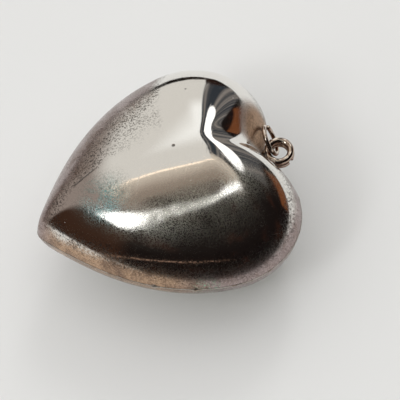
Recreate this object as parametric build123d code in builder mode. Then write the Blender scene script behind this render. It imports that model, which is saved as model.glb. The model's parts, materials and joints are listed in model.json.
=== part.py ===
"""Puffed heart pendant: two hollow halves, a wound wire eye in the cleft and a jump ring.

The pendant lies on its back. +Z is the front face's normal, +Y points from the tip to
the cleft, and the origin is under the middle of the whole outline, level with the
lowest point of the back. All sizes are in millimetres and all angles in degrees.
"""

import os
from math import cos, degrees, radians, sin, sqrt

from build123d import *

# ---- driving dimensions: the two halves -------------------------------------------------

heart_width = 31.0
lobe_radius = 9.05
tip_drop = 20.5  # from the line of the lobes' centres down to the tip
tip_radius = 1.5
tip_half_angle = 53.5  # between the centre line and the side, where the side meets the tip
lobe_end_angle = -8.0  # where the lobe's arc runs into the straighter side
notch_radius = 2.45
dome_height = 8.2  # rise of one half above its own rim
rim_angle = 8.0  # how far round its dome a half stops, which leaves a slight edge at the rim
sheet = 0.4
seam = 0.15  # thickness of the solder between the halves
seam_bead = 0.04  # how far that solder stands proud

# How the outline changes from the rim to the crown, the highest point of a half.
crown_rise = 0.45  # from the line of the lobes' centres up to the crown
lobe_parting = 1.5
lobe_shrinking = 2.1
notch_softening = 6.0
tip_softening = 4.8
tip_fullness = 8.5
side_pull = (0.44, 0.19)  # how far the side keeps the lobe's and the tip's directions
dome_steps = 9
last_dome_angle = 88.0  # leaves a small flat at the crown

# ---- driving dimensions: the rings ------------------------------------------------------

eye_wire = 0.8
eye_diameter = 3.5
eye_stand_off = 0.15  # from the bottom of the notch to the eye
eye_lift = 0.2  # of the eye's centre above the seam
eye_lean = 12.0  # of the eye's axis towards +X
eye_cut = (25.0, 45.0)  # the lower turn of wire stops short between these angles
turn_overlap = 0.02  # how far the two turns are pressed into each other
solder_radius = 0.5
solder_height = 2.3
solder_reach = 0.12  # from the bottom of the notch to the middle of the solder
solder_rounding = 0.25

ring_wire = 0.5
ring_diameter = 3.9
ring_opening = 0.45  # width of the cut
ring_reach = 1.68  # from the eye's centre to the ring's centre
ring_bearing = 196.0  # of the ring's centre, round the eye
ring_height = 0.48  # of the ring's centre above the eye's middle plane
ring_heading = 6.0  # how far the ring's axis is swung from +Y towards +X
ring_tilt = 20.0  # how far the ring's axis is raised
cut_bearing = 198.0  # of the ring's cut, round the ring

# ---- worked out from them ---------------------------------------------------------------

lobe_x = heart_width / 2 - lobe_radius
notch_rise = sqrt((lobe_radius + notch_radius) ** 2 - lobe_x**2) - notch_radius
eye_rise = notch_rise + eye_stand_off + eye_diameter / 2
overall_length = tip_drop + eye_rise + eye_diameter / 2
lobe_y = tip_drop - overall_length / 2
notch_y = lobe_y + notch_rise
crown_y = lobe_y + crown_rise
girdle_z = dome_height + seam / 2

eye_plane = Plane(Pos(0, lobe_y + eye_rise, girdle_z + eye_lift) * Rot(Y=eye_lean))
ring_centre = Pos(
    ring_reach * cos(radians(ring_bearing)),
    ring_reach * sin(radians(ring_bearing)),
    ring_height,
)
ring_plane = Plane(
    eye_plane.location * ring_centre * Rot(Z=-ring_heading) * Rot(X=ring_tilt - 90)
)


def polar(radius, angle):
    """Point at a radius and an angle from the origin of a sketch."""
    return Vector(radius * cos(radians(angle)), radius * sin(radians(angle)))


def heart_profile(share=1.0, inset=0.0, mode=Mode.ADD):
    """Fill the heart outline, inset evenly and then shrunk to a share about the crown.

    A smaller share also has smaller lobes set further apart, a softer notch and a
    fuller, rounder tip, so that the outlines stacked up make two plump lobes with a
    deep cleft that fades out towards the crown.
    """
    softness = 1 - share
    lobe_r = lobe_radius - inset - lobe_shrinking * softness
    lobe_out = lobe_x + lobe_parting * softness
    notch_r = notch_radius + inset + notch_softening * softness
    round_r = tip_radius + tip_softening * softness
    tip_r = round_r - inset
    crown = Vector(0, crown_y)

    def shrunk(point):
        return crown + (point + Vector(0, lobe_y) - crown) * share

    lobe = Vector(lobe_out, 0)
    notch = Vector(0, sqrt((lobe_r + notch_r) ** 2 - lobe_out**2))
    tip = Vector(0, round_r - tip_drop - tip_fullness * softness)

    notch_bottom = notch - Vector(0, notch_r)
    notch_side = lobe + (notch - lobe) * (lobe_r / (lobe_r + notch_r))
    notch_middle = notch + (notch_bottom + notch_side - notch * 2).normalized() * notch_r
    notch_angle = Vector(1, 0).get_signed_angle(notch_side - lobe, Vector(0, 0, 1))
    lobe_middle = lobe + polar(lobe_r, (notch_angle + lobe_end_angle) / 2)
    lobe_end = lobe + polar(lobe_r, lobe_end_angle)
    tip_side = tip + polar(tip_r, -tip_half_angle)
    tip_middle = tip + polar(tip_r, -(tip_half_angle + 90) / 2)
    tip_bottom = tip - Vector(0, tip_r)

    side_length = (lobe_end - tip_side).length
    lobe_pull = lobe_end + polar(side_pull[0] * side_length, lobe_end_angle - 90)
    tip_pull = tip_side + polar(side_pull[1] * side_length, 90 - tip_half_angle)

    with BuildLine() as outline:
        ThreePointArc(shrunk(notch_bottom), shrunk(notch_middle), shrunk(notch_side))
        ThreePointArc(shrunk(notch_side), shrunk(lobe_middle), shrunk(lobe_end))
        Bezier(shrunk(lobe_end), shrunk(lobe_pull), shrunk(tip_pull), shrunk(tip_side))
        ThreePointArc(shrunk(tip_side), shrunk(tip_middle), shrunk(tip_bottom))
        mirror(about=Plane.YZ)
    make_face(outline.edges(), mode=mode)


def dome(height, inset=0.0, mode=Mode.ADD):
    """Loft heart outlines up an elliptical dome, from the front half's rim to its crown."""
    sections = []
    start = radians(rim_angle)
    for step in range(dome_steps + 1):
        angle = start + (radians(last_dome_angle) - start) * step / dome_steps
        rise = height * (sin(angle) - sin(start)) / (1 - sin(start))
        with BuildSketch(Plane.XY.offset(girdle_z + seam / 2 + rise)) as section:
            heart_profile(cos(angle) / cos(start), inset)
        sections.append(section.sketch)
    loft(sections, mode=mode)


def wire_turn(plane, wire, diameter, start=0.0, arc=360.0):
    """Bend round wire about a plane's axis, through an arc from a start angle."""
    with BuildSketch(Plane(plane.location * Rot(Z=start) * Rot(X=90))) as section:
        with Locations(((diameter - wire) / 2, 0)):
            Circle(wire / 2)
    revolve(section.sketch, axis=Axis(plane.origin, plane.z_dir), revolution_arc=arc)


# ---- the two stamped halves and the solder between them ---------------------------------

with BuildPart() as front_shell:
    dome(dome_height)
    dome(dome_height - sheet, inset=sheet, mode=Mode.SUBTRACT)

with BuildPart() as back_shell:
    mirror(front_shell.part, about=Plane.XY.offset(girdle_z))

with BuildPart() as seam_solder:
    with BuildSketch(Plane.XY.offset(girdle_z - seam / 2)):
        heart_profile(inset=-seam_bead)
        heart_profile(inset=sheet, mode=Mode.SUBTRACT)
    extrude(amount=seam)

# ---- the eye: wire wound twice, its lower turn cut short, soldered into the cleft -------

with BuildPart() as fixed_eye:
    half_pitch = (eye_wire - turn_overlap) / 2
    wire_turn(eye_plane.offset(half_pitch), eye_wire, eye_diameter)
    lower_arc = 360 - (eye_cut[1] - eye_cut[0])
    wire_turn(eye_plane.offset(-half_pitch), eye_wire, eye_diameter, eye_cut[1], lower_arc)

with BuildPart() as eye_solder:
    with BuildSketch(Plane.XY.offset(girdle_z + eye_lift)):
        with Locations((0, notch_y + solder_reach)):
            Circle(solder_radius)
    extrude(amount=solder_height / 2, both=True)
    fillet(eye_solder.edges().filter_by(GeomType.CIRCLE), solder_rounding)
    for neighbour in (front_shell, back_shell, seam_solder, fixed_eye):
        add(neighbour.part, mode=Mode.SUBTRACT)

# ---- the jump ring: one turn of thinner wire through the eye, a little open at its cut --

with BuildPart() as jump_ring:
    cut_angle = degrees(2 * ring_opening / (ring_diameter - ring_wire))
    wire_turn(
        ring_plane, ring_wire, ring_diameter, cut_bearing + cut_angle / 2, 360 - cut_angle
    )

# ---- one file for each piece ------------------------------------------------------------

os.makedirs("parts", exist_ok=True)
pieces = {
    "front_shell": front_shell,
    "back_shell": back_shell,
    "seam_solder": seam_solder,
    "fixed_eye": fixed_eye,
    "eye_solder": eye_solder,
    "jump_ring": jump_ring,
}
for name, piece in pieces.items():
    piece.part.label = name
    export_step(piece.part, f"parts/{name}.step")
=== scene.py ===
import json
import math
from types import SimpleNamespace

import bpy
import numpy as np
from mathutils import Matrix, Vector, noise


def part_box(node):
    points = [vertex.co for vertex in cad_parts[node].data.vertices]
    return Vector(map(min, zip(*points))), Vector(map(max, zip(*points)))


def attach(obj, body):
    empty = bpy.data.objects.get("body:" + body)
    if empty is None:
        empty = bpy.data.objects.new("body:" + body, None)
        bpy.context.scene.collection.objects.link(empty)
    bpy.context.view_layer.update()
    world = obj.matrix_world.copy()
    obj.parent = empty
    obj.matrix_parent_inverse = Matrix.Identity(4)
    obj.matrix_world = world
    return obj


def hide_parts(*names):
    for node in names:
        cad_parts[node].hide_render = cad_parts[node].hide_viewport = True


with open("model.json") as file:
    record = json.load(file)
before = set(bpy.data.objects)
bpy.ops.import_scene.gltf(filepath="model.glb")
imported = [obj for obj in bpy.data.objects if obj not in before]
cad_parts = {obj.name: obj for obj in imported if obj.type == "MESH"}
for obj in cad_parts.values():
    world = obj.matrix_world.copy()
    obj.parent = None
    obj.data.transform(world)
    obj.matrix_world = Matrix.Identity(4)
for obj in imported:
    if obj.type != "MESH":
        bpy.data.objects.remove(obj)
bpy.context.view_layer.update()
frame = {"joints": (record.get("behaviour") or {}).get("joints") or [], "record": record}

# A puffed silver heart pendant on a pale table. Lengths are in millimetres until a mesh is
# made, and angles are in degrees unless a comment says radians. MM turns millimetres into
# Blender's metres.
MM = 0.001

# ---- sizes from the frame ------------------------------------------------------------------


def cad_box(node):
    """Low and high corners of a CAD node."""
    return [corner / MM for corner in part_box(node)]


front_low, front_high = cad_box("front_shell")
back_top = cad_box("back_shell")[1].z

HALF_WIDTH = front_high.x
TIP_Y = front_low.y
LOBE_TOP_Y = front_high.y
GIRDLE_Z = (front_low.z + back_top) / 2
HALF_SEAM = (front_low.z - back_top) / 2
DOME = front_high.z - front_low.z
SEAM_PROUD = cad_box("seam_solder")[1].x - front_high.x

joint = next(j for j in frame["joints"] if j["name"] == "ring_swing")
EYE_CENTRE = Vector(joint["pos_m"]) / MM
EYE_AXIS = Vector(joint["axis"]).normalized()
ring_mount = next(m for m in frame["record"]["mounts"] if m["name"] == "chain_ring")
RING_CENTRE = Vector(ring_mount["pos_m"]) / MM
RING_AXIS = Vector(ring_mount["axis"]).normalized()

# Sizes of the sheet and the wires, which the frame's boxes don't give.
SHEET = 0.4
EYE_WIRE = 0.8
EYE_RADIUS = 1.35  # to the middle of the wire
EYE_CUT = (25.0, 45.0)  # the lower turn of wire stops short between these angles
RING_WIRE = 0.5
RING_RADIUS = 1.7
RING_CUT = 198.0  # bearing of the cut, round the ring
RING_OPENING = 0.45

# ---- the heart's form, as shares of its own size -------------------------------------------

LOBE_RADIUS = 0.584 * HALF_WIDTH
LOBE_X = HALF_WIDTH - LOBE_RADIUS
LOBE_Y = LOBE_TOP_Y - LOBE_RADIUS
TIP_DROP = LOBE_Y - TIP_Y
CROWN_Y = LOBE_Y + 0.029 * HALF_WIDTH
NOTCH_RADIUS = 0.158 * HALF_WIDTH
TIP_RADIUS = 0.097 * HALF_WIDTH
TIP_HALF_ANGLE = 53.5
LOBE_END_ANGLE = -8.0  # where the lobe's arc runs into the straighter side
SIDE_PULL = (0.44, 0.19)  # how far the side keeps the lobe's and the tip's directions
RIM_ANGLE = 8.0  # how far round its dome a half stops

# How much the outline changes from the rim to the crown, the highest point of a half.
LOBE_PARTING = 0.097 * HALF_WIDTH
LOBE_SHRINKING = 0.135 * HALF_WIDTH
NOTCH_SOFTENING = 0.387 * HALF_WIDTH
TIP_SOFTENING = 0.31 * HALF_WIDTH
TIP_FULLNESS = 0.548 * HALF_WIDTH

RINGS = 150  # of points, from the crown to the rim
SPOKES = 420
ARC_POINTS = {"notch": 24, "lobe": 160, "side": 160, "tip": 40}
SHARES = np.linspace(0.02, 1.3, 65)
BEARINGS = np.linspace(0, math.pi, 361)  # in radians, from the cleft round to the tip
REACH = np.linspace(0, SHARES[-1] * (TIP_DROP + 2), 500)  # from the crown outwards
GRID_SPAN = 1.15 * (CROWN_Y - TIP_Y)
GRID_STEP = 0.06
SEARCH_STEPS = 600  # along each spoke, to find where the rings cross it
BLUR = 0.45  # rounds off every crease and every change of curvature


def direction(angle):
    """Unit vector at an angle."""
    return np.array([math.cos(math.radians(angle)), math.sin(math.radians(angle))])


def arc(centre, radius, start, end, count):
    """Points of an arc from one angle to another."""
    angles = np.radians(np.linspace(start, end, count))
    return np.array(centre) + radius * np.column_stack([np.cos(angles), np.sin(angles)])


def bezier(points, count):
    """Points of a cubic Bezier curve."""
    t = np.linspace(0, 1, count)[:, None]
    a, b, c, d = (np.array(p) for p in points)
    return (1 - t) ** 3 * a + 3 * (1 - t) ** 2 * t * b + 3 * (1 - t) * t**2 * c + t**3 * d


def half_outline(share):
    """Right half of the heart from notch to tip, at a share of its size about the crown.

    Smaller shares have smaller lobes set further apart, a softer notch and a fuller,
    rounder tip.
    """
    softness = 1 - share
    lobe_r = LOBE_RADIUS - LOBE_SHRINKING * softness
    lobe_x = LOBE_X + LOBE_PARTING * softness
    notch_r = NOTCH_RADIUS + NOTCH_SOFTENING * softness
    tip_r = TIP_RADIUS + TIP_SOFTENING * softness
    lobe = np.array([lobe_x, 0.0])
    notch = np.array([0.0, math.sqrt((lobe_r + notch_r) ** 2 - lobe_x**2)])
    tip = np.array([0.0, tip_r - TIP_DROP - TIP_FULLNESS * softness])
    notch_angle = math.degrees(math.atan2(notch[1], -lobe_x))
    lobe_end = lobe + lobe_r * direction(LOBE_END_ANGLE)
    tip_side = tip + tip_r * direction(-TIP_HALF_ANGLE)
    length = np.linalg.norm(lobe_end - tip_side)
    lobe_pull = lobe_end + SIDE_PULL[0] * length * direction(LOBE_END_ANGLE - 90)
    tip_pull = tip_side + SIDE_PULL[1] * length * direction(90 - TIP_HALF_ANGLE)
    stretches = [
        arc(notch, notch_r, -90, notch_angle - 180, ARC_POINTS["notch"]),
        arc(lobe, lobe_r, notch_angle, LOBE_END_ANGLE, ARC_POINTS["lobe"]),
        bezier([lobe_end, lobe_pull, tip_pull, tip_side], ARC_POINTS["side"]),
        arc(tip, tip_r, -TIP_HALF_ANGLE, -90, ARC_POINTS["tip"]),
    ]
    points = np.concatenate(stretches) + [0, LOBE_Y - CROWN_Y]
    return points * share


def bearing_of(points):
    """Angles of points round the crown from the cleft, in radians."""
    return np.arctan2(points[:, 0], points[:, 1])


def bilinear(table, row, column):
    """Values of a table between its cells."""
    row = np.clip(row, 0, table.shape[0] - 1.001)
    column = np.clip(column, 0, table.shape[1] - 1.001)
    i, j = row.astype(int), column.astype(int)
    u, v = row - i, column - j
    near = table[i, j] * (1 - v) + table[i, j + 1] * v
    far = table[i + 1, j] * (1 - v) + table[i + 1, j + 1] * v
    return near * (1 - u) + far * u


def polar_shares():
    """The share whose outline passes through each point, by bearing and by reach."""
    radii = []
    for share in SHARES:
        points = half_outline(share)
        radii.append(np.interp(BEARINGS, bearing_of(points), np.hypot(*points.T)))
    return np.array([
        np.interp(REACH, np.append(0, outlines), np.append(0, SHARES))
        for outlines in np.array(radii).T
    ])


def share_field():
    """Square of the share at each point of a level grid about the crown, blurred."""
    axis = np.arange(-GRID_SPAN, GRID_SPAN + GRID_STEP, GRID_STEP)
    x, y = np.meshgrid(axis, axis)
    row = np.arctan2(np.abs(x), y) / math.pi * (len(BEARINGS) - 1)
    column = np.hypot(x, y) / REACH[-1] * (len(REACH) - 1)
    field = bilinear(polar_shares(), row, column) ** 2
    width = int(4 * BLUR / GRID_STEP)
    kernel = np.exp(-0.5 * (np.arange(-width, width + 1) * GRID_STEP / BLUR) ** 2)
    kernel /= kernel.sum()
    for along in (0, 1):
        field = np.apply_along_axis(np.convolve, along, field, kernel, mode="same")
    return axis, field


def even_bearings():
    """Bearings of points spread evenly along the whole outline, in radians."""
    edge = half_outline(1.0)
    length = np.append(0, np.cumsum(np.hypot(*np.diff(edge, axis=0).T)))
    even = np.linspace(0, length[-1], SPOKES // 2 + 1)
    bearing = np.interp(even, length, bearing_of(edge))
    return np.concatenate([bearing, -bearing[-2:0:-1]])


def dome_points():
    """Points of one half above its rim: a grid of rings by spokes, with the crown as ring 0."""
    axis, field = share_field()

    def squared_share(x, y):
        column = (x - axis[0]) / (axis[1] - axis[0])
        row = (y - axis[0]) / (axis[1] - axis[0])
        return bilinear(field, row, column)

    bearings = even_bearings()
    reach = np.linspace(0, axis[-1] * 0.99, SEARCH_STEPS)
    rim = math.radians(RIM_ANGLE)
    ring_shares = np.cos(np.linspace(math.pi / 2, rim, RINGS + 1)) / math.cos(rim)
    radius = np.empty((RINGS + 1, SPOKES))
    for k, bearing in enumerate(bearings):
        along = squared_share(reach * math.sin(bearing), reach * math.cos(bearing))
        share = np.sqrt(np.maximum.accumulate(np.maximum(along, 0)))
        share *= np.minimum(1, reach)  # brings the first few rings close round the crown
        radius[:, k] = np.interp(ring_shares, share, reach)
    x = radius * np.sin(bearings)
    y = radius * np.cos(bearings)

    lowest = field.min()
    share = (squared_share(x, y) - lowest) / (1 - lowest)
    tilt = np.arccos(np.sqrt(np.clip(share, 0, 1)) * math.cos(rim))
    z = DOME * (np.sin(tilt) - math.sin(rim)) / (1 - math.sin(rim))
    z[-1] = 0
    x *= HALF_WIDTH / x.max()
    low, high = y.min(), y.max()
    y = TIP_Y + (y - low) * (LOBE_TOP_Y - TIP_Y) / (high - low)
    return np.stack([x, y, z], axis=-1)


# ---- mesh helpers --------------------------------------------------------------------------


def make_mesh(name, points, faces, material):
    """Smooth-shaded object from points in millimetres."""
    mesh = bpy.data.meshes.new(name)
    mesh.from_pydata((np.asarray(points) * MM).tolist(), [], faces)
    mesh.polygons.foreach_set("use_smooth", [True] * len(mesh.polygons))
    mesh.materials.append(material)
    mesh.validate()
    piece = bpy.data.objects.new(name, mesh)
    bpy.context.scene.collection.objects.link(piece)
    return piece


def push(piece, height_at):
    """Move each vertex outwards along its normal by height_at(point)."""
    normals = np.empty(len(piece.data.vertices) * 3, np.float32)
    piece.data.vertices.foreach_get("normal", normals)
    for vertex, normal in zip(piece.data.vertices, normals.reshape(-1, 3)):
        vertex.co += Vector(normal) * (height_at(vertex.co / MM) * MM)


def loop_faces(rings, around, closed):
    """Quads between rings of points, and end caps if the tube is open."""
    faces = []
    last = rings if closed else rings - 1
    for r in range(last):
        here, there = r * around, (r + 1) % rings * around
        for k in range(around):
            after = (k + 1) % around
            faces.append((here + k, here + after, there + after, there + k))
    if not closed:
        faces.append(tuple(range(around))[::-1])
        faces.append(tuple((rings - 1) * around + k for k in range(around)))
    return faces


# ---- node helpers --------------------------------------------------------------------------


class Graph:
    """Short names for building a node tree. The methods that make nodes return sockets."""

    def __init__(self, tree):
        self.tree = tree
        tree.nodes.clear()

    def feed(self, socket, value):
        if isinstance(value, bpy.types.NodeSocket):
            self.tree.links.new(value, socket)
        else:
            socket.default_value = value

    def make(self, kind, inputs, output=0, **settings):
        node = self.tree.nodes.new(kind)
        for name, value in settings.items():
            setattr(node, name, value)
        for key, value in inputs.items():
            self.feed(node.inputs[key], value)
        return node.outputs[output] if len(node.outputs) else None

    def math(self, operation, a, b=0.0, clamp=False):
        return self.make("ShaderNodeMath", {0: a, 1: b}, operation=operation, use_clamp=clamp)

    def chain(self, operation, values):
        result = values[0]
        for value in values[1:]:
            result = self.math(operation, result, value)
        return result

    def add(self, *values):
        return self.chain("ADD", values)

    def minus(self, a, b):
        return self.math("SUBTRACT", a, b)

    def times(self, *values):
        """Product, which for masks is where all of them are."""
        return self.chain("MULTIPLY", values)

    def any_of(self, *masks):
        """The largest of several masks."""
        return self.chain("MAXIMUM", masks)

    def vector(self, operation, a, b=(0, 0, 0), output=0):
        return self.make("ShaderNodeVectorMath", {0: a, 1: b}, output, operation=operation)

    def split(self, vector):
        node = self.tree.nodes.new("ShaderNodeSeparateXYZ")
        self.feed(node.inputs[0], vector)
        return node.outputs

    def millimetres(self):
        """Position in the object's own frame, in millimetres."""
        place = self.make("ShaderNodeTexCoord", {}, "Object")
        return self.make("ShaderNodeVectorMath", {0: place, 3: 1 / MM}, operation="SCALE")

    def step(self, value, start, end):
        """Smooth change from 0 at start to 1 at end, whichever is the larger."""
        rising = start < end
        inputs = {"Value": value, "From Min": min(start, end), "From Max": max(start, end)}
        inputs["To Min"] = 0.0 if rising else 1.0
        inputs["To Max"] = 1.0 if rising else 0.0
        return self.make("ShaderNodeMapRange", inputs, interpolation_type="SMOOTHSTEP")

    def within(self, value, low, high, softness):
        """1 from low to high, fading to 0 over the softness at each end."""
        half = softness / 2
        above = self.step(value, low - half, low + half)
        over = self.step(value, high - half, high + half)
        return self.minus(above, over)

    def near(self, point, centre, reach, softness):
        """1 within reach of a centre, fading to 0 over the softness beyond it."""
        away = self.vector("DISTANCE", point, centre, output=1)
        return self.step(away, reach + softness, reach)

    def mix(self, factor, a, b):
        """Colour a where factor is 0 and b where it is 1."""
        node = self.tree.nodes.new("ShaderNodeMix")
        node.data_type = "RGBA"
        self.feed(node.inputs["Factor"], factor)
        for name, value in (("A", a), ("B", b)):
            colour = next(i for i in node.inputs if i.name == name and i.type == "RGBA")
            self.feed(colour, value)
        return next(o for o in node.outputs if o.type == "RGBA")

    def noise(self, vector, size, detail=2.0, roughness=0.5, distortion=0.0):
        """Noise from 0 to 1 whose grains are about size across."""
        inputs = {
            "Vector": vector,
            "Scale": 1 / size,
            "Detail": detail,
            "Roughness": roughness,
            "Distortion": distortion,
        }
        return self.make("ShaderNodeTexNoise", inputs)

    def bump(self, height, strength, distance, **below):
        inputs = {"Height": height, "Strength": strength, "Distance": distance * MM}
        return self.make("ShaderNodeBump", inputs | below)

    def metal(self, colour, roughness, normal):
        return self.make("ShaderNodeBsdfPrincipled", {
            "Base Color": colour, "Metallic": 1.0, "Roughness": roughness, "Normal": normal,
        })

    def finish(self, surface, kind="ShaderNodeOutputMaterial"):
        self.make(kind, {"Surface": surface})


def new_material(name):
    material = bpy.data.materials.new(name)
    material.use_nodes = True
    return material, Graph(material.node_tree)


def shown(red, green, blue):
    """Linear colour that is shown on screen as the given levels from 0 to 255."""
    levels = (((level / 255 + 0.055) / 1.055) ** 2.4 for level in (red, green, blue))
    return (*levels, 1)


# ---- the silver of the two halves ----------------------------------------------------------

SILVER = (0.88, 0.86, 0.82, 1)
WORN_SILVER = (0.72, 0.72, 0.62, 1)
MAUVE = (0.40, 0.32, 0.31, 1)
TAN = (0.55, 0.36, 0.23, 1)
BROWN = (0.20, 0.12, 0.08, 1)
TEAL = (0.36, 0.72, 0.74, 1)
SOOT = (0.05, 0.04, 0.035, 1)
VERDIGRIS = (0.30, 0.52, 0.36, 1)
DUST = (1, 1, 1, 1)


def on_shell(right, up, rise):
    """A place given by shares of the half width, of the lobes' height and of the dome."""
    return (right * HALF_WIDTH, up * LOBE_TOP_Y, GIRDLE_Z + rise * DOME)


CLEFT_STAIN = on_shell(-0.19, 0.8, 0.22)
LOW_STAIN = on_shell(0.93, 0.2, 0.22)
GREEN_SPECKS = on_shell(0.94, 0.03, 0.0)
TEAL_PATCH = (0.19 * HALF_WIDTH, 0.48 * TIP_Y, GIRDLE_Z + 0.78 * DOME)
PITS = [(on_shell(0.01, 0.147, 1.0), 0.13), (on_shell(-0.52, 0.42, 0.82), 0.1)]
PIT_EDGE = 0.1  # softness beyond each pit's own radius, the second number above
GOUGE_MIDDLE = (-0.05 * HALF_WIDTH, 0.55 * TIP_Y, 0)
GOUGE_HEADING = 105.4
GOUGE_HALF_WIDTH = 0.13
GOUGE_HALF_LENGTH = 1.4
SCRATCHES = [(0.5, 3.0), (1.9, 11.0), (2.7, 23.0)]  # radians, and shift of the noise


def shell_layout(g):
    """The places and noises that all marks on a half are laid out by."""
    point = g.millimetres()
    x, y, z = g.split(point)
    rise = g.math("ABSOLUTE", g.minus(z, GIRDLE_Z))
    return SimpleNamespace(
        point=point,
        x=x,
        y=y,
        z=z,
        height=g.math("DIVIDE", rise, DOME),
        fine=g.noise(point, 0.25, 3, 0.65),
        grain=g.noise(point, 0.12, 2, 0.7),
        grit=g.noise(point, 0.22, 3, 0.75),
        patchy=g.noise(point, 2.4, 4, 0.6, 0.4),
        broad=g.noise(point, 7.0, 2),
        by_cleft=g.near(point, CLEFT_STAIN, 2.4, 2.2),
    )


def brown_film(g, at):
    """Mask of the film that thickens towards the rim, and how far each point is below its edge.

    It climbs high on the side between the tip and the far lobe, and is thinnest along the
    rest of the far lobe.
    """
    near_side = g.step(at.x, -0.2 * HALF_WIDTH, 0.35 * HALF_WIDTH)
    far_side = g.step(at.x, 0.2 * HALF_WIDTH, -0.15 * HALF_WIDTH)
    towards_tip = g.step(at.y, 0.45 * LOBE_TOP_Y, 0.1 * LOBE_TOP_Y)
    climb = g.times(far_side, towards_tip, 0.63)
    uneven = g.times(0.2, g.minus(at.patchy, 0.5))
    edge_height = g.add(0.1, g.times(0.17, near_side), climb, uneven)
    below = g.minus(edge_height, at.height)
    ragged = g.add(below, g.times(0.3, g.minus(at.fine, 0.5)))
    film = g.any_of(g.step(ragged, -0.12, 0.12), at.by_cleft)
    return film, below


def film_tint(g, at):
    """Colour of the film: tan by the tip on the near side and by the cleft, or else mauve."""
    near_side = g.step(at.x, 0.0, 0.2 * HALF_WIDTH)
    tip_side = g.times(near_side, g.step(at.y, 0.1 * LOBE_TOP_Y, 0.256 * TIP_Y))
    tint = g.mix(g.any_of(tip_side, at.by_cleft), MAUVE, TAN)
    clean = g.minus(1.0, at.by_cleft)
    stains = g.times(0.75, g.step(at.patchy, 0.42, 0.7), clean)
    return g.mix(stains, tint, BROWN)


def dark_grains(g, at, film, below, teal):
    """Mask of grains that crowd the film's upper edge and are thinner in film and teal."""
    edge = g.within(below, -0.17, 0.16, 0.16)
    strewn = g.any_of(edge, g.times(0.7, film), g.times(0.8, teal))
    return g.times(strewn, g.step(at.grit, 0.5, 0.56), g.step(at.patchy, 0.3, 0.45))


def pits_and_gouge(g, at):
    """Mask of two small pits on the front and one old gouge."""
    pits = [g.near(at.point, place, radius, PIT_EDGE) for place, radius in PITS]
    away = g.vector("SUBTRACT", at.point, GOUGE_MIDDLE)
    along = g.vector("DOT_PRODUCT", away, (*direction(GOUGE_HEADING), 0), output=1)
    across = g.vector("DOT_PRODUCT", away, (*direction(GOUGE_HEADING - 90), 0), output=1)
    gouge = g.times(
        g.within(across, -GOUGE_HALF_WIDTH, GOUGE_HALF_WIDTH, 0.12),
        g.within(along, -GOUGE_HALF_LENGTH, GOUGE_HALF_LENGTH, 1.0),
        g.step(at.z, GIRDLE_Z, GIRDLE_Z + 0.5),  # only on the front
    )
    return g.any_of(*pits, g.times(0.8, gouge))


def scratches(g, point):
    """Fine straight scratches in three directions, as a height from 0 to 1."""
    lines = []
    for turn, shift in SCRATCHES:
        turned = g.make("ShaderNodeVectorRotate", {"Vector": point, "Angle": turn})
        stretched = g.vector("MULTIPLY", turned, (0.13, 12.0, 0.4))
        moved = g.vector("ADD", stretched, (shift, shift, shift))
        lines.append(g.step(g.noise(moved, 1.0, 1), 0.66, 0.76))
    return g.any_of(*lines)


def shell_silver():
    """Polished silver with grainy wear, and a brown film that thickens towards the rim."""
    material, g = new_material("shell_silver")
    at = shell_layout(g)
    film, below = brown_film(g, at)
    tint = film_tint(g, at)
    teal = g.times(g.near(at.point, TEAL_PATCH, 0.8, 4.0), g.step(at.patchy, 0.25, 0.6))
    speckle = dark_grains(g, at, film, below, teal)
    pits = pits_and_gouge(g, at)
    stained = g.times(g.near(at.point, LOW_STAIN, 0.5, 2.2), g.step(at.fine, 0.36, 0.6))
    green = g.times(g.near(at.point, GREEN_SPECKS, 0.7, 1.6), g.step(at.fine, 0.5, 0.6))
    cells = g.make("ShaderNodeTexVoronoi", {"Vector": at.point, "Scale": 0.45}, "Distance")
    dust = g.step(cells, 0.045, 0.02)

    colour = SILVER
    for strength, mask, shade in (
        (0.92, film, tint),
        (0.8, stained, BROWN),
        (0.85, speckle, SOOT),
        (0.8, pits, SOOT),
        (0.8, green, VERDIGRIS),
        (1.0, dust, DUST),
    ):
        colour = g.mix(g.times(strength, mask), colour, shade)

    rough = 0.045
    for strength, mask in (
        (0.14, film), (0.4, dust), (0.35, at.by_cleft), (0.25, speckle), (0.3, pits)
    ):
        rough = g.add(rough, g.times(strength, mask))

    # Wear is strongest on the near side. It is grainy, and has a second, hazy reflection.
    worn_side = g.step(at.x, 0.18 * HALF_WIDTH, 0.48 * HALF_WIDTH)
    worn = g.times(worn_side, g.step(at.height, 0.4, 0.68), g.step(at.broad, 0.2, 0.5))
    wear = g.any_of(worn, teal, g.times(0.8, film))
    grainy = g.times(at.grain, g.add(0.03, g.times(0.6, wear)))
    uneven = g.bump(g.add(grainy, g.times(-3.0, pits)), 0.6, 0.012)
    normal = g.bump(scratches(g, at.point), 0.2, 0.004, Normal=uneven)
    haze_colour = g.mix(film, g.mix(teal, WORN_SILVER, TEAL), tint)
    haze = g.times(
        g.add(0.03, g.times(0.8, wear)), g.step(at.grain, 0.38, 0.6), g.step(pits, 0.6, 0.1)
    )
    g.finish(g.make("ShaderNodeMixShader", {
        0: haze, 1: g.metal(colour, rough, normal), 2: g.metal(haze_colour, 0.34, normal),
    }))
    return material


# ---- the silver of the wires and the solder ------------------------------------------------

WIRE_SILVER = (0.90, 0.80, 0.69, 1)
# Brown of the wires' tarnish, also used to paint shade on their lower side.
WIRE_TARNISH_AND_SHADE = (0.20, 0.075, 0.035, 1)
SOLDER_GREY = (0.62, 0.58, 0.53, 1)
SOLDER_BROWN = (0.36, 0.27, 0.20, 1)


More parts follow.
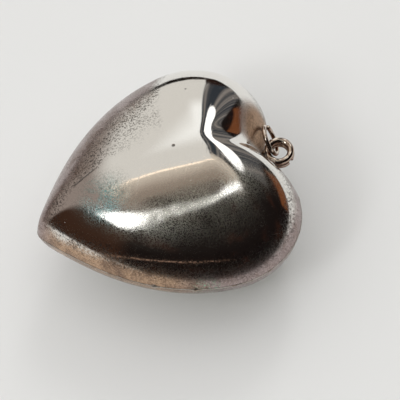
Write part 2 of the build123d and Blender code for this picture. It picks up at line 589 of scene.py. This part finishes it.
def wire_silver():
    """Polished wire with a warm brown tarnish in patches, and painted shade in the same brown on
    its lower side.
    """
    material, g = new_material("wire_silver")
    point = g.millimetres()
    patchy = g.noise(point, 0.7, 3, 0.6)
    fine = g.noise(point, 0.12, 2)
    # Painted shade: the wires turn brown the more they face down, as if in shade, on top of the
    # patchy tarnish.
    normal = g.make("ShaderNodeNewGeometry", {}, "Normal")
    painted_shade_below = g.step(g.split(normal)[2], 0.8, -0.2)
    tarnish_and_shade = g.any_of(g.times(0.6, g.step(patchy, 0.45, 0.7)), painted_shade_below)
    colour = g.mix(tarnish_and_shade, WIRE_SILVER, WIRE_TARNISH_AND_SHADE)
    rough = g.add(0.08, g.times(0.2, tarnish_and_shade))
    uneven = g.bump(g.add(patchy, g.times(0.3, fine)), 0.3, 0.03)
    g.finish(g.metal(colour, rough, uneven))
    return material


def hard_solder():
    """Silver solder: paler and duller than the sheet, with a lumpy skin."""
    material, g = new_material("hard_solder")
    point = g.millimetres()
    patchy = g.noise(point, 1.4, 3, 0.6)
    fine = g.noise(point, 0.15, 3)
    colour = g.mix(g.step(patchy, 0.4, 0.7), SOLDER_GREY, SOLDER_BROWN)
    rough = g.add(0.22, g.times(0.3, fine))
    g.finish(g.metal(colour, rough, g.bump(fine, 0.5, 0.03)))
    return material


# ---- the two halves ------------------------------------------------------------------------

DENTS = 14
DENT_SIZES = (0.35, 0.9)
DENT_DEPTHS = (0.004, 0.014)
WAVES = [(5.5, 0.010), (1.5, 0.0016)]  # length and height


def surface_wear(seed):
    """Function that gives the height of a half's slow waves and shallow dents at a point."""
    random = np.random.default_rng(seed)
    angle = random.uniform(0, 2 * math.pi, DENTS)
    reach = HALF_WIDTH * np.sqrt(random.uniform(0.02, 0.7, DENTS))
    places = np.column_stack([reach * np.cos(angle), CROWN_Y + reach * np.sin(angle)])
    sizes = random.uniform(*DENT_SIZES, DENTS)
    depths = random.uniform(*DENT_DEPTHS, DENTS)
    shift = Vector((seed, 0, 0))

    def height_at(point):
        waves = sum(height * noise.noise(point / length + shift) for length, height in WAVES)
        away = np.linalg.norm(places - np.array([point.x, point.y]), axis=1)
        return waves - np.sum(depths * np.exp(-((away / sizes) ** 2)))

    return height_at


def half_shell(name, points, side, seed, material):
    """One stamped half, on side 1 (front) or -1 (back): worn, and thickened inwards."""
    grid = points.copy()
    grid[..., 2] = GIRDLE_Z + side * (HALF_SEAM + grid[..., 2])
    crown = grid[0, :1]
    vertices = np.concatenate([crown, grid[1:].reshape(-1, 3)])
    faces = [(0, 1 + (k + 1) % SPOKES, 1 + k) for k in range(SPOKES)]
    quads = loop_faces(RINGS, SPOKES, closed=True)[:-SPOKES]  # the dome is open at its rim
    faces += [tuple(1 + i for i in quad) for quad in quads]
    if side < 0:
        faces = [face[::-1] for face in faces]
    piece = make_mesh(name, vertices, faces, material)
    push(piece, surface_wear(seed))
    solid = piece.modifiers.new("sheet", "SOLIDIFY")
    solid.thickness = SHEET * MM
    solid.offset = -1
    solid.use_even_offset = False
    return piece


# ---- the solder line -----------------------------------------------------------------------

SEAM_BEADS = [(0.77, -0.33), (0.915, -0.06), (-0.62, -0.5)]  # as shares of the half width
BEAD_RADIUS = 0.28
BEAD_PROUD = 0.24
SEAM_LUMPS = 1.1  # how far apart the line's own lumps are

# Outline of the line's section: how far out, with 1 for fully proud, and how far up, with
# 1 for half the seam's thickness. It reaches in as far as the sheet is thick.
SEAM_SECTION = [(-SHEET, -1), (0, -1.1), (0.7, -0.7), (1, 0), (0.7, 0.7), (0, 1.1), (-SHEET, 1)]


def bead_share(x, y):
    """How much of a bead of solder stands at a point of the rim, from 0 to 1."""
    swell = 0.0
    for bead_x, bead_y in SEAM_BEADS:
        away = math.hypot(x - bead_x * HALF_WIDTH, y - bead_y * HALF_WIDTH)
        swell += math.exp(-((away / BEAD_RADIUS) ** 2))
    return swell


def seam_band(points, material):
    """The line of solder between the halves, a little proud and lumpy."""
    rim = points[-1, :, :2]
    ahead = np.roll(rim, -1, axis=0) - np.roll(rim, 1, axis=0)
    outward = np.column_stack([-ahead[:, 1], ahead[:, 0]])
    outward /= np.linalg.norm(outward, axis=1)[:, None]
    vertices = []
    for (x, y), (u, v) in zip(rim, outward):
        lump = max(0.0, noise.noise(Vector((x, y, 0)) / SEAM_LUMPS) - 0.1)
        swell = bead_share(x, y)
        proud = SEAM_PROUD * (0.5 + 2.2 * lump) + BEAD_PROUD * swell
        half_height = HALF_SEAM + BEAD_RADIUS * 0.8 * swell
        for out, up in SEAM_SECTION:
            reach = out if out < 0 else out * proud
            vertices.append((x + u * reach, y + v * reach, GIRDLE_Z + up * half_height))
    faces = loop_faces(len(rim), len(SEAM_SECTION), closed=True)
    return make_mesh("seam_line", vertices, faces, material)


# ---- the eye, its solder and the jump ring -------------------------------------------------

WIRE_AROUND = 28  # points round a wire
WIRE_STEPS = 260  # points along a turn of wire
WIRE_UNEVEN = 0.03  # share by which a wire's thickness varies
WIRE_LUMPS = 0.6  # length over which it varies
BLOB_RINGS = 40
BLOB_AROUND = 48
BLOB_SWELL = 1.02
BLOB_UNEVEN = 0.12
CUT_SPRING = 0.16  # how far the jump ring's cut ends stand apart along its axis


def wire_loop(centre, normal, radius, thickness, start, turn, seed, lift):
    """Points and faces of round wire bent about an axis, lifted along it by lift(t)."""
    first = (Vector((1, 0, 0)) - normal * normal.x).normalized()
    second = normal.cross(first)
    closed = turn >= 360
    points = []
    for step in range(WIRE_STEPS):
        t = step / (WIRE_STEPS if closed else WIRE_STEPS - 1)
        angle = math.radians(start + turn * t)
        out = first * math.cos(angle) + second * math.sin(angle)
        middle = centre + out * radius + normal * lift(t)
        for k in range(WIRE_AROUND):
            angle = 2 * math.pi * k / WIRE_AROUND
            side = out * math.cos(angle) - normal * math.sin(angle)
            bumpy = noise.noise((middle + side) / WIRE_LUMPS + Vector((seed, 0, 0)))
            points.append(middle + side * (thickness / 2 * (1 + WIRE_UNEVEN * bumpy)))
    return [tuple(p) for p in points], loop_faces(WIRE_STEPS, WIRE_AROUND, closed)


def wound_eye(material):
    """The eye: two turns of wire, the lower one cut short."""
    points = []
    faces = []
    lower_turn = 360 - (EYE_CUT[1] - EYE_CUT[0])
    turns = [(1, 0, 360, 1), (2, EYE_CUT[1], lower_turn, -1)]
    for seed, start, turn, side in turns:
        turn_points, turn_faces = wire_loop(
            EYE_CENTRE, EYE_AXIS, EYE_RADIUS, EYE_WIRE, start, turn, seed,
            lambda t: side * EYE_WIRE / 2,
        )
        faces += [tuple(i + len(points) for i in face) for face in turn_faces]
        points += turn_points
    return make_mesh("eye_wire", points, faces, material)


def solder_blob(material):
    """The lump of solder between the eye and the notch."""
    low, high = cad_box("eye_solder")
    centre = (low + high) / 2
    half = (high - low) / 2
    points = []
    for r in range(BLOB_RINGS):
        rise = math.pi * (r + 0.5) / BLOB_RINGS
        for k in range(BLOB_AROUND):
            angle = -2 * math.pi * k / BLOB_AROUND
            out = Vector((
                math.sin(rise) * math.cos(angle), math.sin(rise) * math.sin(angle), math.cos(rise)
            ))
            lumpy = BLOB_SWELL + BLOB_UNEVEN * noise.noise(out * 1.7 + Vector((5, 0, 0)))
            points.append([c + h * o * lumpy for c, h, o in zip(centre, half, out)])
    faces = loop_faces(BLOB_RINGS, BLOB_AROUND, closed=False)
    return make_mesh("eye_solder_lump", points, faces, material)


def open_ring(material):
    """The jump ring: one turn whose cut ends stand a little out of line."""
    opening = math.degrees(RING_OPENING / RING_RADIUS)
    points, faces = wire_loop(
        RING_CENTRE, RING_AXIS, RING_RADIUS, RING_WIRE, RING_CUT + opening / 2, 360 - opening, 3,
        lambda t: CUT_SPRING * (t - 0.5) * abs(2 * t - 1) ** 3,
    )
    return make_mesh("ring_wire", points, faces, material)


# ---- each piece rides its body and replaces its CAD node -----------------------------------

silver = shell_silver()
wire = wire_silver()
solder = hard_solder()
half_points = dome_points()
front = half_shell("front_half", half_points, side=1, seed=4, material=silver)
back = half_shell("back_half", half_points, side=-1, seed=9, material=silver)

pieces = [
    (front, "heart", "front_shell", "shell_silver"),
    (back, "heart", "back_shell", "shell_silver"),
    (seam_band(half_points, solder), "heart", "seam_solder", "hard_solder"),
    (wound_eye(wire), "heart", "fixed_eye", "wire_silver"),
    (solder_blob(solder), "heart", "eye_solder", "hard_solder"),
    (open_ring(wire), "ring", "jump_ring", "wire_silver"),
]
for piece, body, node, slot in pieces:
    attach(piece, body)
    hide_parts(node)

# ---- camera, table and lights --------------------------------------------------------------

CAMERA_AZIMUTH = -6.9  # of the camera as seen from the heart, from +X towards +Y
CAMERA_ELEVATION = 54.1
CAMERA_ROLL = -13.0
CAMERA_DISTANCE = 300.0
CAMERA_LENS = 233.5
CAMERA_AIM = Vector((1.84, 3.39, 7.15))
HEADING = CAMERA_AZIMUTH + 180  # of the camera's view

TABLE_SIZE = 1200.0
TABLE_REACH = 80.0  # how much of the table top the polish reflects
TABLE_EDGE = 3.0
PALE = (0.78, 0.78, 0.77, 1)
PALER = (0.80, 0.80, 0.79, 1)

LIGHT_DISTANCE = 1200.0


def at_bearing(azimuth, elevation):
    """Unit vector at an azimuth from +X towards +Y, raised by an elevation."""
    along = direction(azimuth) * math.cos(math.radians(elevation))
    return Vector((*along, math.sin(math.radians(elevation))))


def add_camera():
    """Camera looking at the heart from its near lobe's side."""
    back = at_bearing(CAMERA_AZIMUTH, CAMERA_ELEVATION)
    right = Vector((0, 0, 1)).cross(back).normalized()
    up = back.cross(right)
    across, along = direction(CAMERA_ROLL)
    turned_right = right * across + up * along
    turned_up = up * across - right * along
    data = bpy.data.cameras.new("camera")
    data.lens = CAMERA_LENS
    data.clip_start = 0.01
    camera = bpy.data.objects.new("camera", data)
    bpy.context.scene.collection.objects.link(camera)
    rotation = Matrix((turned_right, turned_up, back)).transposed().to_4x4()
    place = Matrix.Translation((CAMERA_AIM + back * CAMERA_DISTANCE) * MM)
    camera.matrix_world = place @ rotation
    bpy.context.scene.camera = camera


def add_table():
    """A pale matt table top, of which only a round part is seen in the polish."""
    material, g = new_material("table_top")
    point = g.millimetres()
    matt = g.make("ShaderNodeBsdfPrincipled", {
        "Base Color": g.mix(g.noise(point, 50.0, 2), PALE, PALER),
        "Roughness": 0.6,
        "Specular IOR Level": 0.2,
    })
    away = g.vector("LENGTH", point, output=1)
    beyond = g.step(away, TABLE_REACH - TABLE_EDGE, TABLE_REACH + TABLE_EDGE)
    reflected = g.make("ShaderNodeLightPath", {}, "Is Glossy Ray")
    clear = g.make("ShaderNodeBsdfTransparent", {})
    unseen = g.times(beyond, reflected)
    g.finish(g.make("ShaderNodeMixShader", {0: unseen, 1: matt, 2: clear}))
    half = TABLE_SIZE / 2
    corners = [(-half, -half, 0), (half, -half, 0), (half, half, 0), (-half, half, 0)]
    make_mesh("table", corners, [(0, 1, 2, 3)], material)


def add_light(name, azimuth, elevation, size, power):
    """Soft light, not seen in the polish. Its azimuth is to the right of the camera's view."""
    data = bpy.data.lights.new(name, "AREA")
    data.shape = "DISK"
    data.size = size * MM
    data.energy = power
    light = bpy.data.objects.new(name, data)
    bpy.context.scene.collection.objects.link(light)
    towards = at_bearing(HEADING - azimuth, elevation)
    light.location = towards * LIGHT_DISTANCE * MM
    light.rotation_euler = towards.to_track_quat("Z", "Y").to_euler()
    light.visible_glossy = False


# ---- the room that the polish shows --------------------------------------------------------

AMBIENT = 1.05  # strength of the plain light from all round, which the polish doesn't show
ROOM = 1.15  # strength of the room seen in the polish
AMBIENT_BRIGHT = (1.0, 0.998, 0.99, 1)
AMBIENT_DARK = (0.05, 0.045, 0.04, 1)

DARK = shown(22, 17, 16)
CLUTTER = shown(44, 27, 21)
BROWN_WALL = shown(54, 36, 27)
LEDGE = shown(135, 108, 92)
DARK_FURNITURE = shown(46, 50, 56)
PALE_FURNITURE = shown(124, 118, 114)
FLOOR = shown(104, 62, 38)
DIM_WALL = shown(136, 124, 118)
OVERHEAD = shown(84, 75, 70)
DIM_CEILING = shown(134, 120, 109)
LIT_CEILING = shown(192, 181, 168)
PANE = shown(205, 202, 197)
BRIGHT_PANE = shown(240, 240, 238)
TRIM = (1.2, 1.0, 0.8, 1)
OVAL_LAMP = (1.2, 1.19, 1.18, 1)
STRIP_LAMP = (1.1, 1.1, 1.05, 1)
STRIP_END = (3.0, 3.0, 3.0, 1)


class Room(Graph):
    """The world's node tree, with each direction laid out by its angles.

    u is to the right of the camera's view and v is away from the camera, both counted
    from straight up. azimuth is to the right of the camera's view, and from_up is down
    from straight up.
    """

    def __init__(self, tree):
        super().__init__(tree)
        self.seen = self.make("ShaderNodeTexCoord", {}, "Generated")
        turned = {"Vector": self.seen, "Axis": (0, 0, 1), "Angle": math.radians(90 - HEADING)}
        facing = self.make("ShaderNodeVectorRotate", turned, rotation_type="AXIS_ANGLE")
        self.x, self.y, self.z = self.split(facing)
        self.from_up = self.times(self.math("ARCCOSINE", self.z), 180 / math.pi)
        squared = self.math("SUBTRACT", 1.0, self.times(self.z, self.z), clamp=True)
        level = self.math("MAXIMUM", self.math("SQRT", squared), 0.001)
        stretch = self.math("DIVIDE", self.from_up, level)
        self.u = self.times(self.x, stretch)
        self.v = self.times(self.y, stretch)
        self.azimuth = self.times(self.math("ARCTAN2", self.x, self.y), 180 / math.pi)

    def zone(self, left, right, near, far, softness):
        """Mask of a box in u and v."""
        between_sides = self.within(self.u, left, right, softness)
        return self.times(between_sides, self.within(self.v, near, far, softness))

    def low_zone(self, left, right, top, bottom, side_softness, softness):
        """Mask of a box in azimuth and angle from straight up."""
        between_sides = self.within(self.azimuth, left, right, side_softness)
        return self.times(between_sides, self.within(self.from_up, top, bottom, softness))

    def laid_along(self, centre, tilt):
        """Distances along and across a line through a centre, tilted from u towards v."""
        right, ahead = self.minus(self.u, centre[0]), self.minus(self.v, centre[1])
        c, s = direction(tilt)
        along = self.add(self.times(right, c), self.times(ahead, s))
        across = self.minus(self.times(ahead, c), self.times(right, s))
        return along, across


def dark_side(g):
    """The dark side, where the camera stands: browner in places, with a low bright ledge."""
    clutter = g.step(g.noise(g.seen, 0.3, 3), 0.5, 0.75)
    colour = g.mix(clutter, DARK, CLUTTER)
    brown_wall = g.low_zone(-125, -88, 52, 99, side_softness=8, softness=6)
    colour = g.mix(brown_wall, colour, BROWN_WALL)
    past_ledge = g.add(g.v, 66.2, g.times(0.24, g.u))
    ledge = g.times(g.within(past_ledge, -0.8, 0.8, 1.2), g.step(g.u, 10, -20))
    return g.mix(ledge, colour, LEDGE)


def right_side(g, colour):
    """To the right of the window: grey furniture, with an orange-brown floor below it."""
    stripes = g.step(g.noise(g.azimuth, 14.0, 2, 0.7), 0.42, 0.6)
    furniture = g.mix(stripes, DARK_FURNITURE, PALE_FURNITURE)
    colour = g.mix(g.zone(2, 66, 20, 88, softness=6), colour, furniture)
    floor = g.low_zone(54, 82, 85, 99, side_softness=4, softness=4)
    return g.mix(floor, colour, FLOOR)


def wall_and_ceiling(g, colour, past_lintel):
    """To the left a dim wall. Overhead a dark band, then the ceiling up to the lintel."""
    colour = g.mix(g.zone(-100, -20, -8, 104, softness=10), colour, DIM_WALL)
    colour = g.mix(g.zone(-14, 30, -1, 10, softness=3), colour, OVERHEAD)
    ceiling = g.mix(g.step(past_lintel, -10, 0), DIM_CEILING, LIT_CEILING)
    reach = g.times(g.within(g.u, -28, 28, 5), g.within(past_lintel, -13, 4, 2))
    return g.mix(reach, colour, ceiling)


def window(g, colour, past_lintel):
    """The window: brightest towards its right-hand edge, which leans."""
    right_edge = g.make("ShaderNodeMapRange", {
        "Value": g.v, "From Min": 36.0, "From Max": 88.0, "To Min": 5.0, "To Max": 22.0,
    })
    inside = g.minus(right_edge, g.u)
    opening = g.times(
        g.step(inside, -1, 1),
        g.step(g.u, -32, -19),
        g.step(past_lintel, 0, 1),
        g.step(g.v, 95, 93),
    )
    bright = g.times(g.step(inside, 18, 6), g.within(g.v, 36, 64, 14))
    pane = g.mix(bright, PANE, BRIGHT_PANE)
    colour = g.mix(opening, colour, pane)
    trim = g.times(g.within(past_lintel, -0.5, 0.5, 0.5), g.within(g.u, -26, 8, 5))
    return g.mix(trim, colour, TRIM)


def oval_lamp(g, colour):
    """A long oval lamp in front of the furniture."""
    along, across = g.laid_along(centre=(31, 38), tilt=104)
    long = g.math("POWER", g.math("DIVIDE", along, 21.0), 2.0)
    wide = g.math("POWER", g.math("DIVIDE", across, 11.5), 2.0)
    return g.mix(g.step(g.add(long, wide), 1.12, 0.9), colour, OVAL_LAMP)


def strip_lamp(g, colour):
    """A strip lamp near straight up, brighter at its ends and wider at the left one."""
    along, across = g.laid_along(centre=(-7.5, -7.5), tilt=18)
    half_width = g.add(1.7, g.times(3.4, g.step(along, -14, -30)))
    inside = g.minus(half_width, g.math("ABSOLUTE", across))
    strip = g.times(g.step(inside, -0.7, 0.7), g.within(along, -37, 38, 3))
    ends = g.step(g.math("ABSOLUTE", along), 10, 26)
    return g.mix(strip, colour, g.mix(ends, STRIP_LAMP, STRIP_END))


def add_world():
    """The room in the polish, and for all else a plain light, brighter from the window."""
    world = bpy.data.worlds.new("room")
    world.use_nodes = True
    bpy.context.scene.world = world
    g = Room(world.node_tree)
    bowed = g.times(0.018, g.math("POWER", g.minus(g.u, 3.0), 2.0))
    past_lintel = g.minus(g.add(g.v, bowed), 20.0)
    colour = right_side(g, dark_side(g))
    colour = window(g, wall_and_ceiling(g, colour, past_lintel), past_lintel)
    colour = strip_lamp(g, oval_lamp(g, colour))
    reflected = g.make("ShaderNodeBackground", {"Color": colour, "Strength": ROOM})

    facing_light = g.add(g.times(0.85, g.y), g.times(-0.5, g.x), g.times(0.8, g.z))
    bright_side = g.step(facing_light, -0.7, 0.75)
    ambient_colour = g.mix(bright_side, AMBIENT_DARK, AMBIENT_BRIGHT)
    ambient = g.make("ShaderNodeBackground", {"Color": ambient_colour, "Strength": AMBIENT})
    diffuse = g.make("ShaderNodeLightPath", {}, "Is Diffuse Ray")
    direct = g.make("ShaderNodeLightPath", {}, "Is Camera Ray")
    plain = g.any_of(diffuse, direct)
    shade = g.make("ShaderNodeMixShader", {0: plain, 1: reflected, 2: ambient})
    g.finish(shade, "ShaderNodeOutputWorld")


add_camera()
add_table()
add_light("window_light", azimuth=25, elevation=40, size=330, power=1.6)
add_light("side_light", azimuth=-127, elevation=42, size=280, power=1.8)
add_world()
bpy.context.scene.view_settings.view_transform = "Standard"
